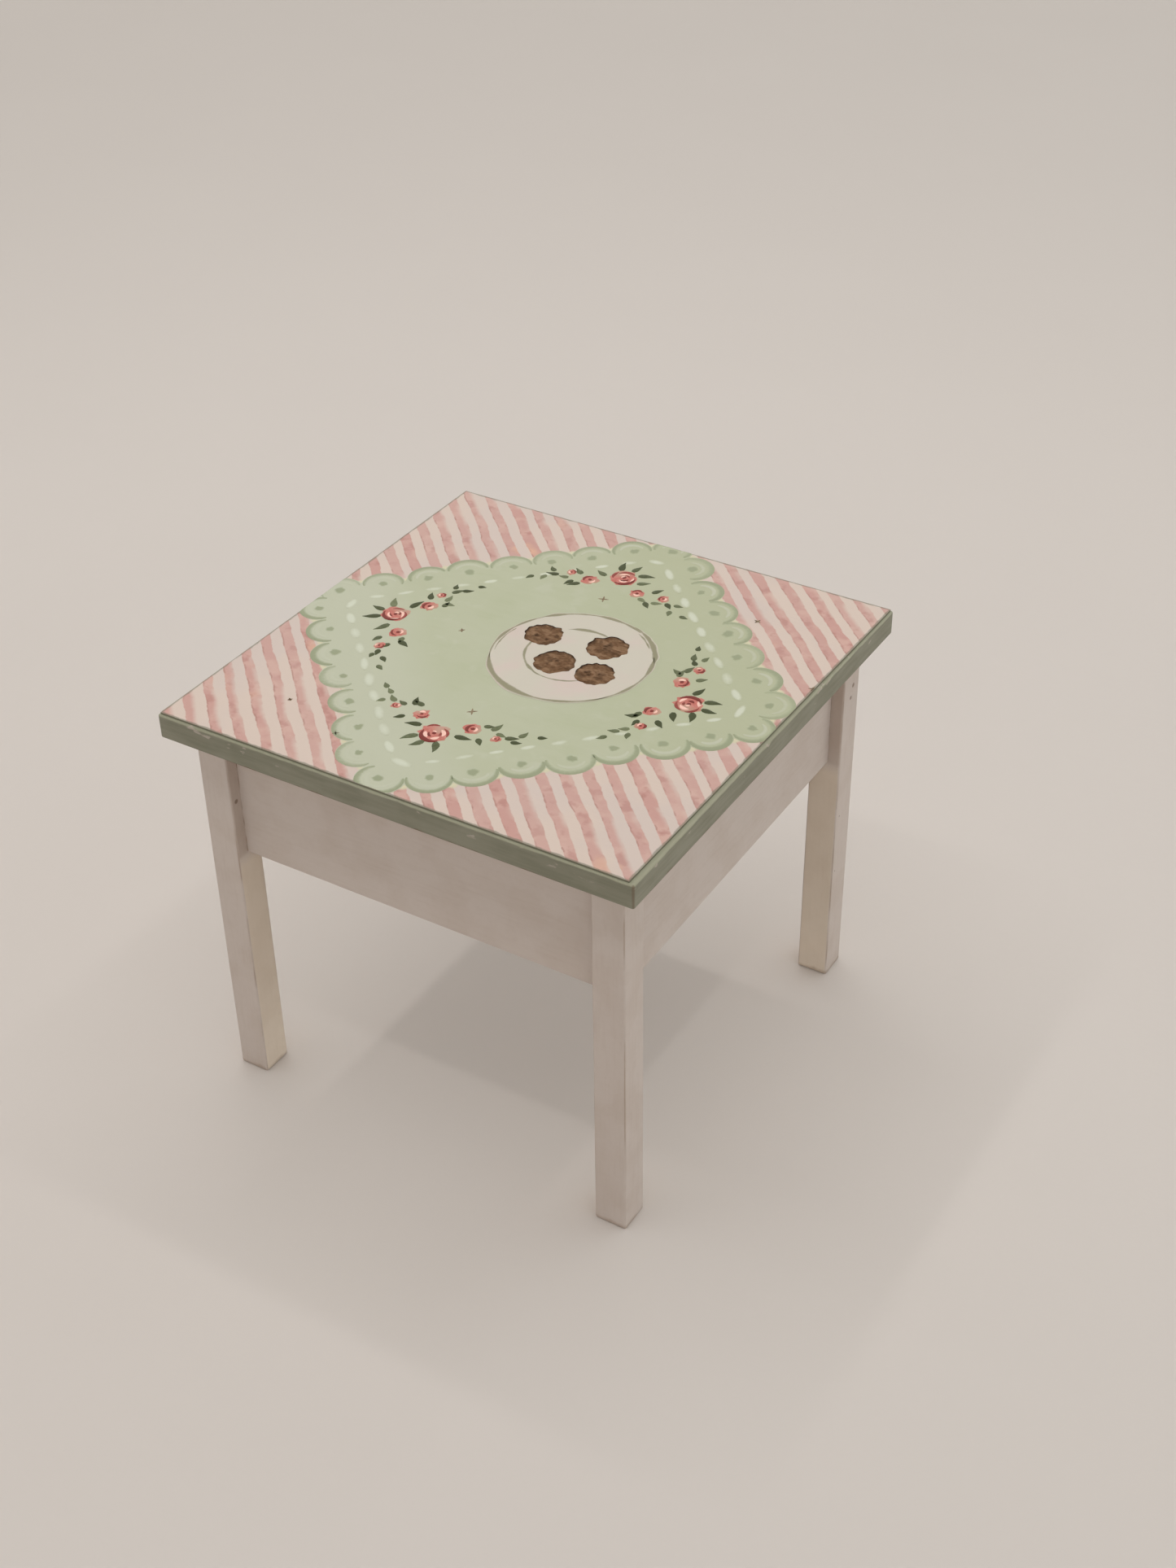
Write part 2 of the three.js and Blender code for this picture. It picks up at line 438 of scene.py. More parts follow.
def leg_material():
    """Washed wood, rubbed at the long edges and the foot, darker with stain and painted shade in the
    recess beside the aprons, and with painted light on the two inner faces below the aprons: a paler,
    warmer wash for light bounced under the table.
    """
    surface = Surface("washed_leg")
    across_x = surface.x.size() - LEG_MIDDLE
    across_y = surface.y.size() - LEG_MIDDLE
    rub = surface.noise(2.4, stretch=(1, 1, 3), seed=95)
    broken = rub.rise(0.42, 0.62)
    outward = across_x.size().least(across_y.size()) + (rub - 0.5) * 0.15
    arris = outward.rise(LEG_HALF - 0.22, LEG_HALF - 0.04)
    foot = (surface.z + (rub - 0.5) * 1.6).rise(1.0, 0.1)
    recess = leg_recess(surface)
    # wear also darkens the recess beside the aprons: pooled stain and painted shade of the corner
    wear = (arris * broken * 0.75).most(foot * 0.5).most(recess * (rub * 0.3 + 0.12))
    # Painted light: the inner faces below the aprons get a paler, warmer wash for light bounced under the
    # table
    inner = across_x.least(across_y).rise(0.05 - LEG_HALF, -LEG_HALF)
    inner = inner * surface.z.rise(apron_low.z + 0.5, apron_low.z - 2.5)
    marks = surface.spot(*LEG_MARKS[0])
    for place, radius in LEG_MARKS[1:]:
        marks = marks.most(surface.spot(place, radius))
    full = surface.blend(WASH, WASH_INNER_PAINTED_LIGHT, inner)
    thin = surface.blend(WASH_THIN, WASH_INNER_THIN_PAINTED_LIGHT, inner)
    return washed_wood(surface, (1, 1, GRAIN_STRETCH), wear, (full, thin), marks * 0.7)


def leg_recess(surface):
    """1 on the strip of a leg's inner faces that stands proud of the apron: pooled stain and painted
    shade in the inner corner.
    """
    near_x = surface.x.size()
    near_y = surface.y.size()
    inner_x = near_x.rise(LEG_INNER + 0.2, LEG_INNER + 0.1) * near_y.rise(APRON_FACE - 0.1, APRON_FACE)
    inner_y = near_y.rise(LEG_INNER + 0.2, LEG_INNER + 0.1) * near_x.rise(APRON_FACE - 0.1, APRON_FACE)
    return inner_x.most(inner_y) * surface.z.rise(apron_low.z - 0.6, apron_low.z + 0.3)


def apron_material(name, stretch):
    """Washed wood, with a dark line of glue at each end, against the legs."""
    surface = Surface(name)
    rub = surface.noise(2.4, stretch=(4, 4, 1), seed=97)
    lower = (surface.z + (rub - 0.5) * 0.6).rise(apron_low.z + 0.2, apron_low.z) * 0.5
    ends = surface.x.size().least(surface.y.size()).rise(LEG_INNER - 0.22, LEG_INNER - 0.08)
    glue = ends * surface.noise(1.5, stretch=(1, 1, 3), seed=99).rise(0.42, 0.6)
    return washed_wood(surface, stretch, lower.most(glue * 0.8))


def dress_cad_nodes():
    """Gives every CAD node its own material."""
    leg = leg_material()
    lengthwise = apron_material("washed_apron_lengthwise", (GRAIN_STRETCH, 1, 1))
    crosswise = apron_material("washed_apron_crosswise", (1, GRAIN_STRETCH, 1))
    finishes = {
        "top_facing": facing_material(),
        "tabletop": sage_material(),
        "apron_front": lengthwise,
        "apron_rear": lengthwise,
        "apron_left": crosswise,
        "apron_right": crosswise,
    }
    for name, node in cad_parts.items():
        node.data.materials.clear()
        node.data.materials.append(finishes.get(name, leg))


# -------- coats of paint

class Coat:
    """One coat of paint: closed strokes gathered in one mesh.

    Each point carries cover, from bare ground 0 to full paint 1, and tint, from dark 0 to light 1.
    """

    def __init__(self):
        self.mesh = bmesh.new()
        self.cover = self.mesh.verts.layers.float.new("cover")
        self.tint = self.mesh.verts.layers.float.new("tint")

    def point(self, x, y, height, cover, tint):
        """A point this high above the facing, kept on the facing."""
        y = max(-FACING_EDGE, min(FACING_EDGE, y))
        x = max(-FACING_EDGE, min(FACING_RIGHT_MIDDLE + FACING_RIGHT_SLOPE * y, x))
        vertex = self.mesh.verts.new(Vector((x, y, GROUND_Z + height)) * METRE)
        vertex[self.cover] = cover
        vertex[self.tint] = tint
        return vertex

    def join(self, rows):
        """Quads between neighbouring closed rows of points."""
        for row, following in zip(rows, rows[1:]):
            for place in range(len(row)):
                after = (place + 1) % len(row)
                self.mesh.faces.new((row[place], row[after], following[after], following[place]))

    def blob(self, rim, base, rise, profile, tint=0.5, around=None):
        """A low mound with a closed rim. profile lists (share of the way out, share of rise, cover),
        from the rim inwards, and around(share of a turn) scales the cover."""
        middle_x = sum(x for x, _ in rim) / len(rim)
        middle_y = sum(y for _, y in rim) / len(rim)
        rows = []
        for share, lift, cover in profile:
            row = []
            for place, (x, y) in enumerate(rim):
                scale = around(place / len(rim)) if around else 1
                at = (middle_x + (x - middle_x) * share, middle_y + (y - middle_y) * share)
                row.append(self.point(*at, base + rise * lift, cover * scale, tint))
            rows.append(row)
        self.join(rows)
        self.mesh.faces.new(reversed(rows[0]))
        self.mesh.faces.new(rows[-1])

    def ribbon(self, path, half_widths, base, rise, section, tint=0.5, along=None):
        """A stroke along a path. section lists (place across from -1, right, to 1, left; share of rise;
        cover), and along lists a cover scale for each point of the path."""
        rows = []
        for place, (x, y) in enumerate(path):
            before = path[max(place - 1, 0)]
            after = path[min(place + 1, len(path) - 1)]
            run = Vector((after[0] - before[0], after[1] - before[1])).normalized()
            half = half_widths[place]
            scale = along[place] if along else 1
            row = []
            for across, lift, cover in section:
                at = (x - run.y * half * across, y + run.x * half * across)
                row.append(self.point(*at, base + rise * lift, cover * scale, tint))
            rows.append(row)
        self.join(rows)
        self.mesh.faces.new(reversed(rows[0]))
        self.mesh.faces.new(rows[-1])

    def slab(self, rim, base, rise):
        """A flat film inside any closed outline."""
        rows = [[self.point(x, y, base + rise * lift, 1, 0.5) for x, y in rim] for lift in (0, 1)]
        self.join(rows)
        self.mesh.faces.new(reversed(rows[0]))
        self.mesh.faces.new(rows[1])

    def finish(self, name, material):
        """Makes the coat a piece of its own, which rides on the table."""
        bmesh.ops.recalc_face_normals(self.mesh, faces=self.mesh.faces)
        data = bpy.data.meshes.new(name)
        self.mesh.to_mesh(data)
        self.mesh.free()
        data.materials.append(material)
        data.shade_smooth()
        data.set_sharp_from_angle(angle=SMOOTH_LIMIT)
        piece = bpy.data.objects.new(name, data)
        bpy.context.scene.collection.objects.link(piece)
        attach(piece, "root")


# Heights above the facing at which each coat starts, and how far it rises
NOTCH_BASE, NOTCH_RISE = 0, 0.012
DOILY_BASE, DOILY_RISE = 0, 0.03
STROKE_BASE, STROKE_RISE = 0.03, 0.02
LEAF_BASE, LEAF_RISE = 0.03, 0.035
ROSE_BASE, ROSE_RISE = 0.03, 0.04
PETAL_BASE, PETAL_RISE = 0.055, 0.035
PLATE_BASE, PLATE_RISE = 0.03, 0.03
PLATE_LINE_BASE, PLATE_LINE_RISE = 0.055, 0.015
BISCUIT_BASE, BISCUIT_RISE = 0.06, 0.07
CHIP_BASE, CHIP_RISE = 0.12, 0.03

# Sections of strokes and profiles of blobs: place, share of rise, cover
FIRM_SECTION = ((-1, 0, 0.7), (-0.6, 1, 1), (0, 1, 1), (0.6, 1, 1), (1, 0, 0.7))
ONE_SIDED_SECTION = ((-1, 0, 0.8), (-0.75, 1, 1), (0, 1, 0.7), (0.6, 0.7, 0.25), (1, 0, 0))
SOFT_SECTION = ((-1, 0, 0), (-0.5, 1, 0.7), (0, 1, 1), (0.5, 1, 0.7), (1, 0, 0))
SOFT_PROFILE = ((1, 0, 0), (0.8, 0.7, 0.35), (0.5, 1, 0.8), (0.15, 1, 1))
FIRM_PROFILE = ((1, 0, 0.75), (0.88, 0.9, 1), (0.5, 1, 1), (0.15, 1, 1))
CRUST_PROFILE = ((1, 0, 1), (0.95, 0.7, 0.95), (0.84, 1, 0.45), (0.6, 1, 0.05), (0.2, 1, 0.15))


def turned(x, y, angle):
    """The place (x, y) turned about the origin."""
    return (x * math.cos(angle) - y * math.sin(angle), x * math.sin(angle) + y * math.cos(angle))


def uneven_circle(middle, radius, points, unevenness, seed, lobes=1.5):
    """A closed outline round a point, with smooth bumps of a share of its radius."""
    rim = []
    for place in range(points):
        angle = FULL_TURN * place / points
        at = Vector((math.cos(angle) * lobes, math.sin(angle) * lobes, seed * 7.3))
        reach = radius * (1 + unevenness * noise.noise(at))
        rim.append((middle[0] + reach * math.cos(angle), middle[1] + reach * math.sin(angle)))
    return rim


# -------- the doily

DOILY_MIDDLE = (-0.5, 0.8)
DOILY_HALF = (27.5, 25.6)  # middle to the scallops' centres, along and across the (1, 1) diagonal
DOILY_TURN = math.pi / 4
DOILY_CORNER = 5
SCALLOPS = 32
SCALLOP_RADIUS = 3.35
SCALLOP_NUDGE = 0.35  # how far a scallop's centre is out of line, at most
SCALLOP_STEPS = 12  # along each scallop's outline
NOTCH_OUT = 0.25  # how far outside the scallops' crossing a notch's paint is centred
NOTCH_RADIUS = 1.2
SHADOW_STEPS = 16
SHADOW_WIDTHS = (1.0, 1.4)  # of the dark stroke round a scallop, least and most
CRESCENT_GAP = 0.35  # from the dark stroke to the middle of the pale crescent
CRESCENT_HALF = 0.42  # half of the crescent's width
DOT_RADII = (0.75, 1.05)
DOT_NUDGE = 0.3
STITCHES = 42
STITCH_INSET = 3.5
STITCH_CORNER = 3
STITCH_HALVES = (1.1, 1.4)  # half of a stitch's length, least and most
STITCH_WIDTHS = (0.9, 1.2)


def round_the_doily(inset, corner, count, start=0.0):
    """Evenly spaced places on a rounded rectangle, each as (x, y, outward angle), anticlockwise."""
    half = [size - inset for size in DOILY_HALF]
    arc = corner * math.pi / 2
    sides = [2 * (half[1] - corner), 2 * (half[0] - corner)] * 2
    whole = sum(sides) + 4 * arc
    places = []
    for step in range(count):
        distance = (whole * (step + start) / count) % whole
        for quarter in range(4):
            outward = quarter * math.pi / 2
            reach, side = (half[0], sides[0]) if quarter % 2 == 0 else (half[1], sides[1])
            if distance < side:
                x, y = turned(reach, distance - side / 2, outward)
                break
            distance -= side
            if distance < arc:
                bend = distance / corner
                x, y = turned(reach - corner, side / 2, outward)
                outward += bend
                x += corner * math.cos(outward)
                y += corner * math.sin(outward)
                break
            distance -= arc
        x, y = turned(x, y, DOILY_TURN)
        places.append((x + DOILY_MIDDLE[0], y + DOILY_MIDDLE[1], outward + DOILY_TURN))
    return places


def notch_angle(scallop, neighbour, outward, side):
    """How far from outward a scallop's circle meets its neighbour's, which is the next one
    anticlockwise where side is 1 and clockwise where it is -1."""
    (x, y, radius), (next_x, next_y, next_radius) = scallop, neighbour
    apart = math.dist((x, y), (next_x, next_y))
    towards = math.atan2(next_y - y, next_x - x)
    swing = (side * (towards - outward)) % FULL_TURN
    lean = (apart**2 + radius**2 - next_radius**2) / (2 * apart * radius)
    return swing - math.acos(max(-1, min(1, lean)))


def scallop_arcs():
    """For each scallop, its circle and the angles of its visible arc."""
    chance = random.Random(5)
    places = round_the_doily(0, DOILY_CORNER, SCALLOPS)
    circles = []
    for x, y, _ in places:
        x += chance.uniform(-SCALLOP_NUDGE, SCALLOP_NUDGE)
        y += chance.uniform(-SCALLOP_NUDGE, SCALLOP_NUDGE)
        circles.append((x, y, SCALLOP_RADIUS + chance.uniform(-0.1, 0.3)))
    arcs = []
    for place, (_, _, outward) in enumerate(places):
        circle = circles[place]
        first = outward - notch_angle(circle, circles[place - 1], outward, -1)
        last = outward + notch_angle(circle, circles[(place + 1) % SCALLOPS], outward, 1)
        arcs.append((circle, first, last))
    return arcs


def arc_points(circle, first, last, steps, inset=0.0):
    """Evenly spaced places along an arc, this far inside the circle."""
    x, y, radius = circle
    reach = radius - inset
    angles = [first + (last - first) * step / steps for step in range(steps + 1)]
    return [(x + reach * math.cos(angle), y + reach * math.sin(angle)) for angle in angles]


def make_doily():
    """A film of mint paint with a scalloped outline, and what is painted on it."""
    arcs = scallop_arcs()
    rim = []
    for circle, first, last in arcs:
        rim.extend(arc_points(circle, first, last, SCALLOP_STEPS)[:-1])
    film = Coat()
    film.slab(rim, DOILY_BASE, DOILY_RISE)
    film.finish("doily", mint_material())
    make_notches(arcs)
    make_scallop_shadows(arcs)
    make_stitches()


def make_notches(arcs):
    """Pale paint that fills the notches between the scallops."""
    coat = Coat()
    for number, (circle, first, _) in enumerate(arcs):
        x, y, radius = circle
        reach = radius + NOTCH_OUT
        at = (x + reach * math.cos(first), y + reach * math.sin(first))
        coat.blob(uneven_circle(at, NOTCH_RADIUS, 14, 0.25, number), NOTCH_BASE, NOTCH_RISE, SOFT_PROFILE)
    material = stroke_material("pale_notch", striped_ground, MINT_NOTCH, MINT_NOTCH)
    coat.finish("doily_notches", material)


def make_scallop_shadows(arcs):
    """A darker stroke round each scallop, a pale crescent inside it and a dot at its middle."""
    chance = random.Random(8)
    coat = Coat()
    swells = [math.sin(math.pi * step / SHADOW_STEPS) ** 0.5 for step in range(SHADOW_STEPS + 1)]
    taper = [0.35 + 0.65 * swell for swell in swells]
    pale_halves = [CRESCENT_HALF * share for share in taper]
    for number, (circle, first, last) in enumerate(arcs):
        width = chance.uniform(*SHADOW_WIDTHS)
        reach = chance.uniform(0.1, 0.5)
        path = arc_points(circle, first - reach, last + reach, SHADOW_STEPS, inset=width / 2)
        halves = [width / 2 * share for share in taper]
        cover = [chance.uniform(0.5, 1)] * len(path)
        coat.ribbon(path, halves, STROKE_BASE, STROKE_RISE, ONE_SIDED_SECTION, 0, cover)
        pale = arc_points(circle, first + 0.1, last - 0.1, SHADOW_STEPS, inset=width + CRESCENT_GAP)
        coat.ribbon(pale, pale_halves, STROKE_BASE, STROKE_RISE, SOFT_SECTION, 1.2, cover)
        x = circle[0] + chance.uniform(-DOT_NUDGE, DOT_NUDGE)
        y = circle[1] + chance.uniform(-DOT_NUDGE, DOT_NUDGE)
        rim = uneven_circle((x, y), chance.uniform(*DOT_RADII), 14, 0.45, number)
        coat.blob(rim, STROKE_BASE, STROKE_RISE, SOFT_PROFILE, 0)
    material = stroke_material("mint_shadow", mint_ground, MINT_PALE, MINT_SHADOW)
    coat.finish("doily_scallops", material)


def make_stitches():
    """Pale dashes that run round the doily inside its scallops."""
    chance = random.Random(9)
    coat = Coat()
    for x, y, outward in round_the_doily(STITCH_INSET, STITCH_CORNER, STITCHES, start=0.5):
        run = outward + math.pi / 2 + chance.uniform(-0.15, 0.15)
        broad = abs(math.cos(outward - DOILY_TURN))  # 1 on the two longer sides
        half = chance.uniform(*STITCH_HALVES) * (1 + 0.3 * broad)
        path = []
        for step in range(-3, 4):
            path.append((x + half * step / 3 * math.cos(run), y + half * step / 3 * math.sin(run)))
        width = chance.uniform(*STITCH_WIDTHS) * (1 + 0.5 * broad)
        widths = [width * share for share in (0.2, 0.42, 0.5, 0.52, 0.5, 0.42, 0.2)]
        strength = chance.uniform(0.6, 1)
        along = [strength * share for share in (0.2, 0.7, 0.9, 1, 0.9, 0.7, 0.2)]
        coat.ribbon(path, widths, STROKE_BASE, STROKE_RISE, SOFT_SECTION, 0.5, along)
    material = stroke_material("pale_stitch", mint_ground, STITCH, STITCH)
    coat.finish("doily_stitches", material)


STRAY_MARKS = (  # x, y and radius
    (-0.5, 18.8, 0.8),
    (-0.5, -15.8, 0.75),
    (-13.6, 1.1, 0.5),
    (-13.4, -29.3, 0.5),
    (-23.8, -25.8, 0.35),
    (22.0, 24.5, 0.55),
    (36.8, 12.4, 0.6),
)


def make_specks():
    """Small brown marks, each two short strokes that cross."""
    chance = random.Random(14)
    coat = Coat()
    for x, y, radius in STRAY_MARKS:
        run = chance.uniform(0, math.pi)
        for angle in (run, run + chance.uniform(1.1, 1.8)):
            reach = (radius * math.cos(angle), radius * math.sin(angle))
            path = [(x + share * reach[0], y + share * reach[1]) for share in (-1, -0.4, 0.4, 1)]
            halves = [0.05, 0.15, 0.15, 0.05]
            cover = [0.4, 1, 1, 0.4]
            coat.ribbon(path, halves, LEAF_BASE, STROKE_RISE, SOFT_SECTION, 0, cover)
    coat.finish("brown_specks", speck_material())


# -------- the rose sprays

SPRAYS = (  # main rose's place, and the angle that points out from the doily's middle
    ((-24.5, 0.0), math.pi),
    ((-2.0, -22.7), -math.pi / 2),
    ((24.0, 0.5), 0.0),
    ((-1.0, 25.7), math.pi / 2),
)
# One arm of a spray, as (inward, sideways) from the main rose
BUDS = ((3.3, 4.2, 1.15), (2.7, 8.0, 0.8))  # with the radius
ARM_LEAVES = (  # with the length and the angle between inward and the tip
    (0.9, 2.7, 2.3, 1.75),
    (1.9, 5.9, 1.8, 2.4),
    (4.7, 6.1, 1.9, 0.5),
    (4.4, 5.0, 1.8, 1.2),
    (4.1, 7.0, 1.7, 1.6),
    (3.7, 9.2, 1.8, 1.0),
    (4.9, 10.3, 1.6, 0.6),
    (3.5, 10.2, 1.4, 1.8),
    (5.8, 12.3, 1.4, 0.9),
)
CROWN_LEAVES = ((-0.85, 2.4), (-0.1, 2.2), (0.7, 2.5))  # angle from outward, length
CROWN_REACH = 2.15  # from the main rose's middle to where the crown leaves start
LEAF_WIDTHS = (0.26, 0.5, 0.52, 0.4, 0.22, 0.04)  # from base to tip
LEAF_COVER = (1, 1, 1, 0.95, 0.85, 0.7)
ROSE_RADIUS = 2.1
ROSE_HEART = 0.16  # share of the rose's radius
BUD_HEART = 0.26
PETAL_STEPS = 8
# The strokes of a full rose, as (share of its radius out, turn from its dark side, sweep, share wide, tint)
ROSE_PETALS = (
    (0.84, -1.1, 2.3, 0.34, 0.0),
    (0.82, 1.7, 1.3, 0.26, 0.2),
    (0.84, -2.7, 1.2, 0.26, 0.15),
    (0.58, -1.4, 1.3, 0.32, 1.1),
    (0.6, 0.5, 0.9, 0.3, 1.0),
    (0.55, 2.0, 1.5, 0.3, 1.1),
    (0.34, -1.0, 1.6, 0.26, 0.0),
    (0.36, 1.6, 1.2, 0.22, 0.15),
    (0.2, 2.8, 1.6, 0.22, 1.1),
)
BUD_PETALS = (
    (0.72, -1.2, 2.4, 0.44, 0.05),
    (0.5, 1.9, 1.9, 0.42, 1.1),
)


class Spray:
    """Draws one spray of roses: leaves in one coat and flowers in another."""

    def __init__(self, leaves, flowers, place, outward, chance):
        self.leaves = leaves
        self.flowers = flowers
        self.place = place
        self.outward = outward
        self.chance = chance

    def at(self, inward, sideways):
        """The place this far from the main rose."""
        x, y = turned(-inward, sideways, self.outward)
        return (self.place[0] + x, self.place[1] + y)

    def jitter(self, amount):
        return self.chance.uniform(-amount, amount)

    def leaf(self, base, angle, length):
        """A pointed stroke with a fat base."""
        bend = self.jitter(0.35)
        path = []
        for step in range(len(LEAF_WIDTHS)):
            share = step / (len(LEAF_WIDTHS) - 1)
            heading = angle + bend * share
            x = base[0] + length * share * math.cos(heading)
            path.append((x, base[1] + length * share * math.sin(heading)))
        halves = [width * (0.55 + 0.2 * length) for width in LEAF_WIDTHS]
        tint = self.chance.uniform(-0.2, 0.75)
        self.leaves.ribbon(path, halves, LEAF_BASE, LEAF_RISE, FIRM_SECTION, tint, LEAF_COVER)

    def petals(self, middle, radius, dark_side, strokes):
        """Crescent strokes about a flower's middle, each a little out of true."""
        swells = [math.sin(math.pi * step / PETAL_STEPS) for step in range(PETAL_STEPS + 1)]
        for out, turn, sweep, wide, tint in strokes:
            start = dark_side + turn + self.jitter(0.35)
            aside = (middle[0] + self.jitter(0.1) * radius, middle[1] + self.jitter(0.1) * radius)
            end = start + sweep * (1 + self.jitter(0.2))
            path = arc_points((*aside, radius * out), start, end, PETAL_STEPS)
            half = radius * wide / 2 * (1 + self.jitter(0.25))
            halves = [half * (0.2 + 0.8 * swell) for swell in swells]
            self.flowers.ribbon(path, halves, PETAL_BASE, PETAL_RISE, FIRM_SECTION, tint)

    def flower(self, middle, radius, strokes, heart_share):
        """A washed disc with one dark side, petals on it and a dark heart."""
        dark_side = self.chance.uniform(0, FULL_TURN)
        rim = uneven_circle(middle, radius, 20, 0.42, self.chance.uniform(0, 9), lobes=2.2)
        self.flowers.blob(
            rim, ROSE_BASE, ROSE_RISE, FIRM_PROFILE, 0.6,
            lambda share: 0.74 + 0.26 * math.cos(FULL_TURN * share - dark_side),
        )
        self.petals(middle, radius, dark_side, strokes)
        heart = uneven_circle(middle, radius * heart_share, 8, 0.4, self.chance.uniform(0, 9))
        self.flowers.blob(heart, PETAL_BASE, PETAL_RISE, FIRM_PROFILE, 0)

    def draw(self):
        """The main rose with its crown of leaves, then an arm of buds and leaves on each side."""
        self.flower(self.at(0, 0), ROSE_RADIUS + self.jitter(0.1), ROSE_PETALS, ROSE_HEART)
        for swing, length in CROWN_LEAVES:
            heading = self.outward + swing + self.jitter(0.15)
            base = self.at(-CROWN_REACH * math.cos(swing), CROWN_REACH * math.sin(swing))
            self.leaf(base, heading, length + self.jitter(0.2))
        for side in (-1, 1):
            for inward, sideways, radius in BUDS:
                place = self.at(inward + self.jitter(0.4), side * (sideways + self.jitter(0.4)))
                self.flower(place, radius * (1 + self.jitter(0.12)), BUD_PETALS, BUD_HEART)
            for inward, sideways, length, swing in ARM_LEAVES:
                place = self.at(inward + self.jitter(0.35), side * (sideways + self.jitter(0.35)))
                heading = self.outward + math.pi - side * swing + self.jitter(0.4)
                self.leaf(place, heading, length * (1 + self.jitter(0.15)))


def make_sprays():
    """The four sprays of roses, in two coats."""
    chance = random.Random(21)
    leaves = Coat()
    flowers = Coat()
    for place, outward in SPRAYS:
        Spray(leaves, flowers, place, outward, chance).draw()
    leaf_paint = stroke_material("leaf_paint", mint_ground, LEAF_LIGHT, LEAF_DARK)
    leaves.finish("spray_leaves", leaf_paint)
    flowers.finish("spray_roses", rose_material())


# -------- the plate of biscuits

PLATE_MIDDLE = (3.8, 2.9)
PLATE_RADIUS = 11.7
WELL_MIDDLE = (3.6, 3.4)
WELL_RADIUS = 6.8
# Drawn lines, as (out from the radius, first angle, last angle, width)
RIM_LINES = (
    (-0.1, -2.7, -0.6, 1.0),
    (-0.1, -0.75, 0.5, 0.75),
    (0.1, 0.35, 1.25, 0.9),
    (-0.5, 0.7, 1.1, 0.5),
    (-0.1, 1.1, 2.5, 0.85),
    (-0.1, 2.4, 3.7, 0.7),
    (-0.55, 2.9, 3.5, 0.4),
)
WELL_LINES = ((0, 1.2, 2.2, 0.8), (0, -3.2, -1.9, 0.8), (0.1, -2.0, -0.9, 0.6))
LINE_STEP = 0.6  # between neighbouring points of a drawn line
BISCUITS = ((-2.8, 6.0, 2.8), (7.0, 7.4, 3.0), (2.5, 0.5, 3.0), (9.0, 0.6, 2.8))  # x, y, radius
CHIPS_IN_BISCUIT = 4
CHIP_RADII = (0.35, 0.75)
CHIP_COVER = 0.65


def plate_line(coat, middle, radius, first, last, width, seed):
    """A thin drawn line along part of a circle, heavier in places."""
    steps = int((last - first) * radius / LINE_STEP)
    rim = uneven_circle(middle, radius, steps * 2, 0.012, seed)
    path = []
    halves = []
    along = []
    for step in range(steps + 1):
        share = step / steps
        angle = first + (last - first) * share
        reach = math.dist(rim[int(angle / FULL_TURN * len(rim)) % len(rim)], middle)
        path.append((middle[0] + reach * math.cos(angle), middle[1] + reach * math.sin(angle)))
        swell = 0.85 + 0.9 * noise.noise(Vector((share * 5, seed, 0.5)))
        ends = min(1, 6 * min(share, 1 - share) + 0.15)
        halves.append(width / 2 * max(0.6, swell) * ends)
        along.append(max(0.7, min(1, swell + 0.1)))
    coat.ribbon(path, halves, PLATE_LINE_BASE, PLATE_LINE_RISE, SOFT_SECTION, along=along)


def make_plate():
    """A round white film with drawn lines for its rim and its well."""
    film = Coat()
    film.slab(uneven_circle(PLATE_MIDDLE, PLATE_RADIUS, 120, 0.02, 3), PLATE_BASE, PLATE_RISE)
    film.finish("plate", plate_material())
    lines = Coat()
    for number, (out, first, last, width) in enumerate(RIM_LINES, start=1):
        plate_line(lines, PLATE_MIDDLE, PLATE_RADIUS + out, first, last, width, number)
    for number, (out, first, last, width) in enumerate(WELL_LINES, start=11):
        plate_line(lines, WELL_MIDDLE, WELL_RADIUS + out, first, last, width, number)
    line_paint = stroke_material("plate_line", plate_ground, PLATE_LINE, PLATE_LINE)
    lines.finish("plate_lines", line_paint)


def make_biscuits():
    """Brown biscuits, darker on one side, each with a few dark chips."""
    chance = random.Random(33)
    crusts = Coat()
    chips = Coat()
    for number, (x, y, radius) in enumerate(BISCUITS):
        rim = uneven_circle((x, y), radius, 56, 0.15, number + 0.4, lobes=3.4)
        shaded = chance.uniform(1.9, 2.7)
        crusts.blob(
            rim, BISCUIT_BASE, BISCUIT_RISE, CRUST_PROFILE,
            around=lambda share: 0.55 + 0.6 * math.cos(FULL_TURN * share - shaded),
        )
        for _ in range(CHIPS_IN_BISCUIT):
            angle = chance.uniform(0, FULL_TURN)
            reach = radius * chance.uniform(0.1, 0.62)
            middle = (x + reach * math.cos(angle), y + reach * math.sin(angle))
            chip = uneven_circle(middle, chance.uniform(*CHIP_RADII), 10, 0.6, chance.uniform(0, 9))
            chips.blob(chip, CHIP_BASE, CHIP_RISE, SOFT_PROFILE, around=lambda _: CHIP_COVER)
    biscuit = biscuit_material()
    crusts.finish("biscuits", biscuit)
    chips.finish("biscuit_chips", biscuit)


# -------- floor, lights and camera

CAMERA_AZIMUTH = math.radians(31.79)
CAMERA_ELEVATION = math.radians(35.42)
CAMERA_ROLL = math.radians(-0.92)
CAMERA_DISTANCE = 317.2
CAMERA_TARGET = Vector((2.57, 8.75, 39.0))
CAMERA_LENS = 48.53  # on a 36 mm sensor along the picture's height
CLIP_NEAR = 1
CLIP_FAR = 10000

# Thin strip lamps in a square above the table; they draw the shadow's sharp, overlapping edges
STRIPS = 4
STRIP_HEIGHT = 440
STRIP_OFFSET = 152  # from the square's middle to each strip
STRIP_WIDTH = 18
STRIP_RADIANCE = 9.3
STRIP_BIAS = Vector((-0.27, 0.17))  # share by which the strips on the right and behind are brighter
STRIPS_MIDDLE = Vector((-8, -8))

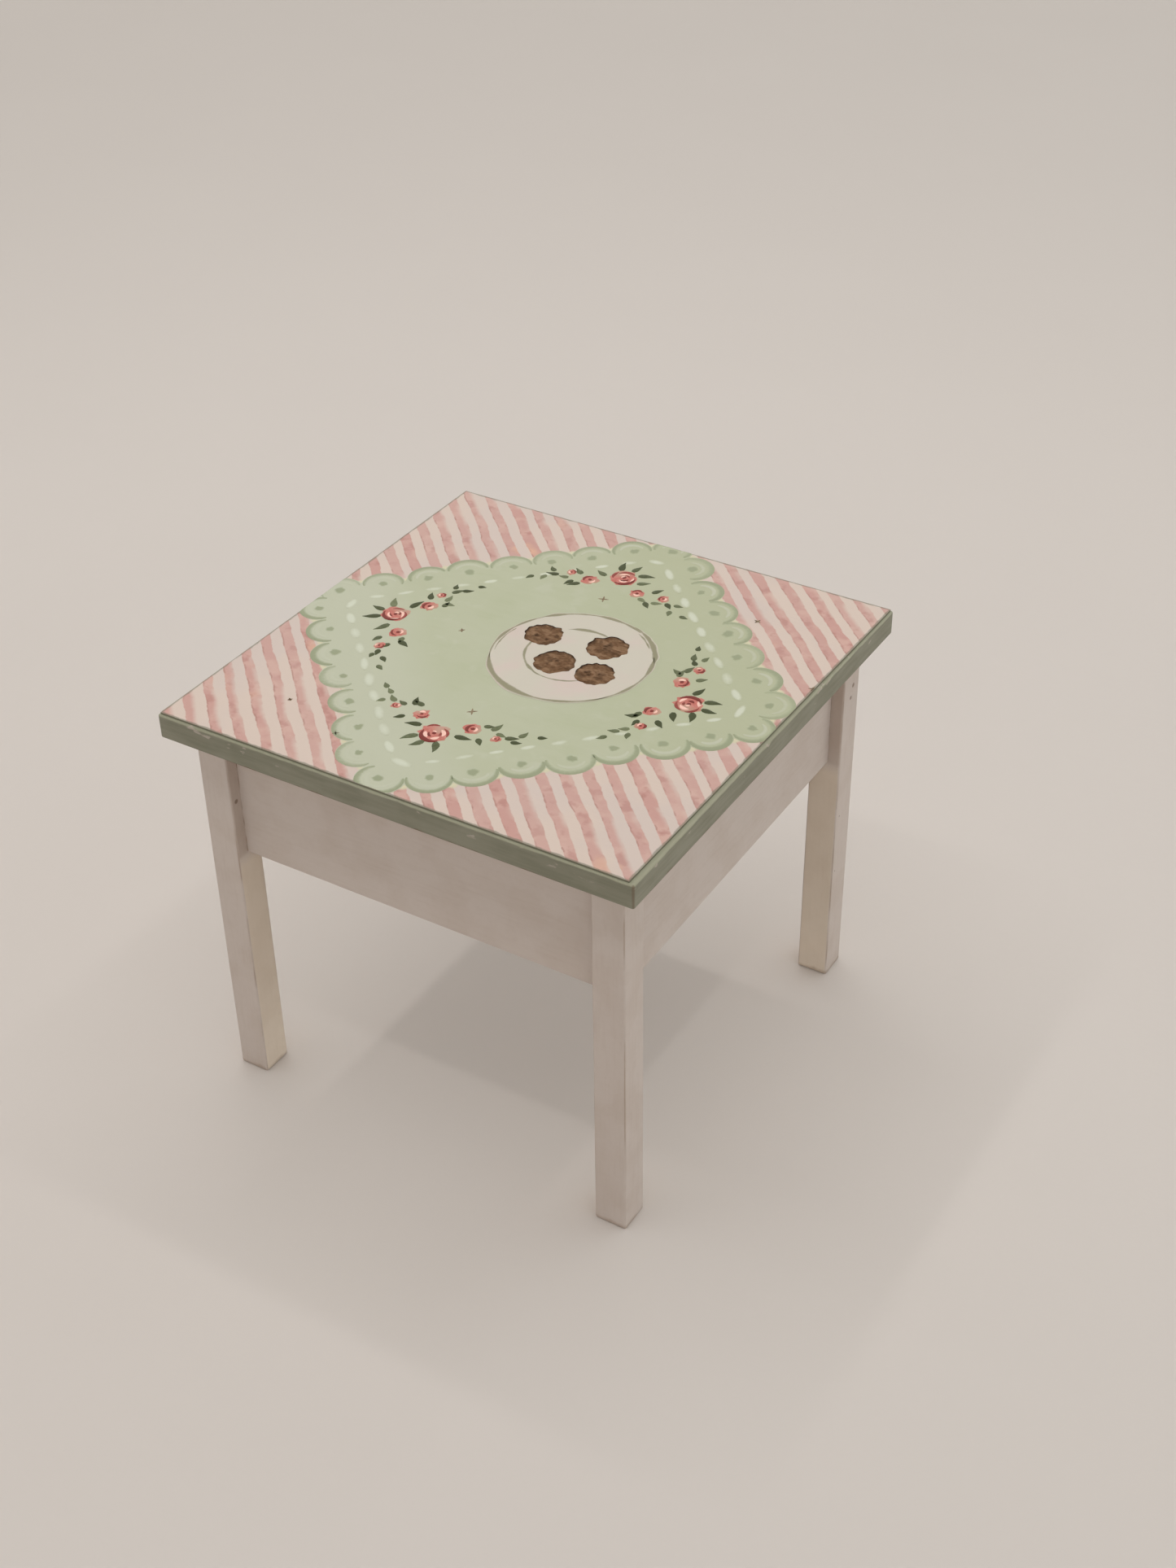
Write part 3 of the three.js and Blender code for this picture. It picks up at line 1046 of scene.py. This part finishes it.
LAMP_DISTANCE = 2500  # from the table to every lamp of a ring
LAMPS_IN_RING = 8
CEILING_ELEVATION = math.radians(67.5)
CEILING_SPREAD = math.radians(15)
CEILING_RADIANCE = 0.43
WALL_ELEVATION = math.radians(25)
WALL_SPREAD = math.radians(10)
WALL_RADIANCE = 2.1
WALL_BIAS = 0.35  # share by which the wall is brighter behind the table, and darker in front of it
# How warm the wall's light is on the table's left and how cool on its right
WALL_TINTS = ((1.0, 0.96, 0.905), (1.05, 1.17, 1.21))
SKY_COLOUR = (1.0, 0.96, 0.91, 1)
SKY_STRENGTH = 0.295
HORIZON_STRENGTH = 0.34  # added to the sky near the horizon
HORIZON_TOP = (math.radians(12), math.radians(20))  # fades out between these elevations
HORIZON_BIAS = 0.6  # share by which the horizon is brighter behind the table

FLOOR_RADIUS = 1500
FLOOR_RELIEF = 0.02


def make_camera():
    """A camera this far from its target, at its azimuth and elevation and rolled a little."""
    side = Vector((math.cos(CAMERA_AZIMUTH), math.sin(CAMERA_AZIMUTH), 0))
    flat_back = Vector((math.sin(CAMERA_AZIMUTH), -math.cos(CAMERA_AZIMUTH), 0))
    back = flat_back * math.cos(CAMERA_ELEVATION) + Vector((0, 0, math.sin(CAMERA_ELEVATION)))
    upright = back.cross(side)
    right = side * math.cos(CAMERA_ROLL) + upright * math.sin(CAMERA_ROLL)
    up = back.cross(right)
    data = bpy.data.cameras.new("camera")
    data.lens = CAMERA_LENS
    data.clip_start = CLIP_NEAR * METRE
    data.clip_end = CLIP_FAR * METRE
    camera = bpy.data.objects.new("camera", data)
    bpy.context.scene.collection.objects.link(camera)
    place = Matrix((right, up, back)).transposed().to_4x4()
    place.translation = (CAMERA_TARGET + back * CAMERA_DISTANCE) * METRE
    camera.matrix_world = place
    bpy.context.scene.camera = camera


def make_lamp(name, width, height, radiance, place, rotation, colour=(1, 1, 1)):
    """A flat rectangular lamp that the camera doesn't see, its sizes and place in millimetres."""
    data = bpy.data.lights.new(name, "AREA")
    data.shape = "RECTANGLE"
    data.size = width * METRE
    data.size_y = height * METRE
    data.energy = math.pi * data.size * data.size_y * radiance
    data.color = colour
    lamp = bpy.data.objects.new(name, data)
    lamp.location = place * METRE
    lamp.rotation_euler = rotation
    lamp.visible_camera = False
    bpy.context.scene.collection.objects.link(lamp)


def make_lamp_ring(name, elevation, spread, radiance, bias=0.0, tints=((1, 1, 1), (1, 1, 1))):
    """Flat panels in a ring round the table, side by side and all facing it. bias is how much brighter
    they get towards the rear, and tints are the colours at the table's left and right."""
    width = 2 * LAMP_DISTANCE * math.cos(elevation) * math.tan(math.pi / LAMPS_IN_RING)
    height = 2 * LAMP_DISTANCE * math.tan(spread / 2)
    for number in range(LAMPS_IN_RING):
        azimuth = FULL_TURN * number / LAMPS_IN_RING
        flat = Vector((math.cos(azimuth), math.sin(azimuth), 0))
        outward = flat * math.cos(elevation) + Vector((0, 0, math.sin(elevation)))
        rotation = outward.to_track_quat("Z", "Y").to_euler()
        rightness = (1 + math.cos(azimuth)) / 2
        colour = [left + (right - left) * rightness for left, right in zip(*tints)]
        brightness = radiance * (1 + bias * math.sin(azimuth))
        make_lamp(name, width, height, brightness, outward * LAMP_DISTANCE, rotation, colour)


def make_strip_lamps():
    """Lamps along the sides of a level square, all shining straight down."""
    for number in range(STRIPS):
        azimuth = FULL_TURN * number / STRIPS
        outward = Vector((math.cos(azimuth), math.sin(azimuth)))
        place = (STRIPS_MIDDLE + outward * STRIP_OFFSET).to_3d() + Vector((0, 0, STRIP_HEIGHT))
        brightness = STRIP_RADIANCE * (1 + outward.dot(STRIP_BIAS))
        make_lamp("strip_lamp", STRIP_WIDTH, 2 * STRIP_OFFSET, brightness, place, (0, 0, azimuth))


def make_sky():
    """An even sky with a brighter band along the horizon, brightest behind the table."""
    world = bpy.data.worlds.new("studio")
    world.use_nodes = True
    tree = world.node_tree
    apart = tree.nodes.new("ShaderNodeSeparateXYZ")
    tree.links.new(tree.nodes.new("ShaderNodeTexCoord").outputs["Generated"], apart.inputs[0])
    _, behind, height = (Field(tree, axis) for axis in apart.outputs)
    band = height.rise(math.sin(HORIZON_TOP[1]), math.sin(HORIZON_TOP[0]))
    strength = band * (behind * HORIZON_BIAS + 1) * HORIZON_STRENGTH + SKY_STRENGTH
    background = tree.nodes["Background"]
    background.inputs["Color"].default_value = SKY_COLOUR
    tree.links.new(strength.socket, background.inputs["Strength"])
    bpy.context.scene.world = world


def make_lights():
    make_strip_lamps()
    make_lamp_ring("ceiling_lamp", CEILING_ELEVATION, CEILING_SPREAD, CEILING_RADIANCE)
    make_lamp_ring("wall_lamp", WALL_ELEVATION, WALL_SPREAD, WALL_RADIANCE, WALL_BIAS, WALL_TINTS)
    make_sky()
    bpy.context.scene.view_settings.view_transform = "Standard"


def floor_material():
    surface = Surface("paper_floor")
    mottle = surface.noise(60, seed=101)
    colour = surface.blend(FLOOR, FLOOR_DEEP, mottle)
    return surface.finish(colour, mottle * 0.1 + 0.8, surface.noise(1.5, seed=103), FLOOR_RELIEF)


def make_floor():
    """A wide, flat sheet of paper."""
    mesh = bmesh.new()
    bmesh.ops.create_circle(mesh, cap_ends=True, segments=64, radius=FLOOR_RADIUS * METRE)
    data = bpy.data.meshes.new("paper_floor")
    mesh.to_mesh(data)
    mesh.free()
    data.materials.append(floor_material())
    floor = bpy.data.objects.new("paper_floor", data)
    bpy.context.scene.collection.objects.link(floor)


dress_cad_nodes()
make_doily()
make_specks()
make_sprays()
make_plate()
make_biscuits()
make_floor()
make_lights()
make_camera()
